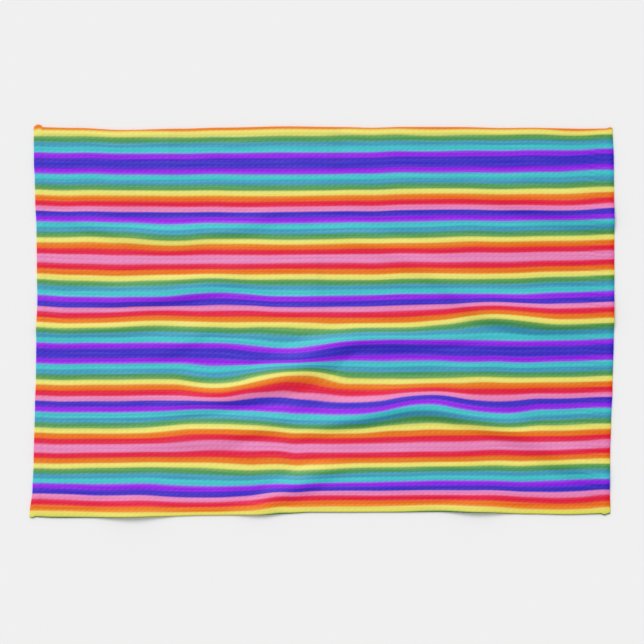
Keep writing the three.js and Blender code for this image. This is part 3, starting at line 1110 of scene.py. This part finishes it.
def add_object(context, name, data):
    """Adds an object with its data to the scene."""
    added = bpy.data.objects.new(name, data)
    context.scene.collection.objects.link(added)
    return added


class TowelMakeCloth(bpy.types.Operator):
    """Build the printed towel in its folds"""

    bl_idname = "towel.make_cloth"
    bl_label = "Make Towel"

    def execute(self, context):
        cloth = context.scene.towel_cloth
        pattern = context.scene.towel_print
        mesh = make_mesh(build_cloth(cloth), cloth, pattern)
        mesh.materials.append(printed_cotton(pattern))
        mesh.materials.append(plain_cotton(pattern))
        towel = add_object(context, "towel_cloth", mesh)
        towel.scale = (cloth.length / (CUT_LENGTH * MM), cloth.width / (CUT_WIDTH * MM), 1)
        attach(towel, BODY)
        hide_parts(TOWEL_NODE)
        return {"FINISHED"}


def make_camera(context, stage):
    """A camera straight above the towel, far side up."""
    data = bpy.data.cameras.new("Camera")
    data.lens = stage.lens
    distance = stage.frame_width * data.lens / data.sensor_width
    data.clip_end = distance + FLOOR_SIZE * MM
    camera = add_object(context, "Camera", data)
    camera.location = (CAMERA_RIGHT * MM, -CAMERA_NEAR * MM, distance + FACE_HEIGHT * MM)
    context.scene.camera = camera


def make_floor(context, stage):
    """A plain pale floor under the towel."""
    half = FLOOR_SIZE * MM / 2
    corners = [(-half, -half, 0), (half, -half, 0), (half, half, 0), (-half, half, 0)]
    mesh = bpy.data.meshes.new("floor")
    mesh.from_pydata(corners, [], [(0, 1, 2, 3)])
    material = bpy.data.materials.new("Pale floor")
    material.use_nodes = True
    surface = material.node_tree.nodes["Principled BSDF"]
    set_inputs(surface, {"Base Color": (*stage.floor_colour, 1), "Roughness": 1, "Specular IOR Level": 0})
    mesh.materials.append(material)
    floor = add_object(context, "floor", mesh)


def make_lights(context, stage):
    """A broad soft key light from the far left, and even light from all round. Together they light a flat
    face fully.
    """
    sun = bpy.data.lights.new("Key light", "SUN")
    sun.angle = stage.key_softness
    sun.energy = stage.key_share * math.pi / math.sin(stage.key_elevation)
    key = add_object(context, "Key light", sun)
    key.rotation_euler = (math.pi / 2 - stage.key_elevation, 0, math.pi + stage.key_turn)

    world = bpy.data.worlds.new("Even light")
    world.use_nodes = True
    background = world.node_tree.nodes["Background"]
    set_inputs(background, {"Color": (1, 1, 1, 1), "Strength": 1 - stage.key_share})
    context.scene.world = world


class TowelMakeStage(bpy.types.Operator):
    """Set up the camera, floor and light"""

    bl_idname = "towel.make_stage"
    bl_label = "Make Stage"

    def execute(self, context):
        stage = context.scene.towel_stage
        make_camera(context, stage)
        make_floor(context, stage)
        make_lights(context, stage)
        context.scene.view_settings.view_transform = "Standard"
        return {"FINISHED"}


class TowelPanel(bpy.types.Panel):
    """Lists the towel's operators and settings"""

    bl_idname = "VIEW3D_PT_tea_towel"
    bl_label = "Striped Tea Towel"
    bl_space_type = "VIEW_3D"
    bl_region_type = "UI"
    bl_category = "Tea Towel"

    def draw(self, context):
        for operator, settings in (
            (TowelMakeCloth.bl_idname, (context.scene.towel_cloth, context.scene.towel_print)),
            (TowelMakeStage.bl_idname, (context.scene.towel_stage,)),
        ):
            box = self.layout.box()
            box.operator(operator)
            for group in settings:
                for name in group.bl_rna.properties.keys():
                    if name not in ("rna_type", "name"):
                        box.prop(group, name)


CLASSES = (
    TowelClothSettings, TowelPrintSettings, TowelStageSettings, TowelMakeCloth, TowelMakeStage, TowelPanel,
)


def register():
    """Registers the classes and puts the settings on the scene."""
    for each in CLASSES:
        bpy.utils.register_class(each)
    bpy.types.Scene.towel_cloth = bpy.props.PointerProperty(type=TowelClothSettings)
    bpy.types.Scene.towel_print = bpy.props.PointerProperty(type=TowelPrintSettings)
    bpy.types.Scene.towel_stage = bpy.props.PointerProperty(type=TowelStageSettings)


def unregister():
    """Takes the settings off the scene and unregisters the classes."""
    del bpy.types.Scene.towel_stage
    del bpy.types.Scene.towel_print
    del bpy.types.Scene.towel_cloth
    for each in reversed(CLASSES):
        bpy.utils.unregister_class(each)


def main():
    """Builds the towel and its stage."""
    register()
    bpy.ops.towel.make_stage()
    bpy.ops.towel.make_cloth()


if __name__ == "__main__":
    main()
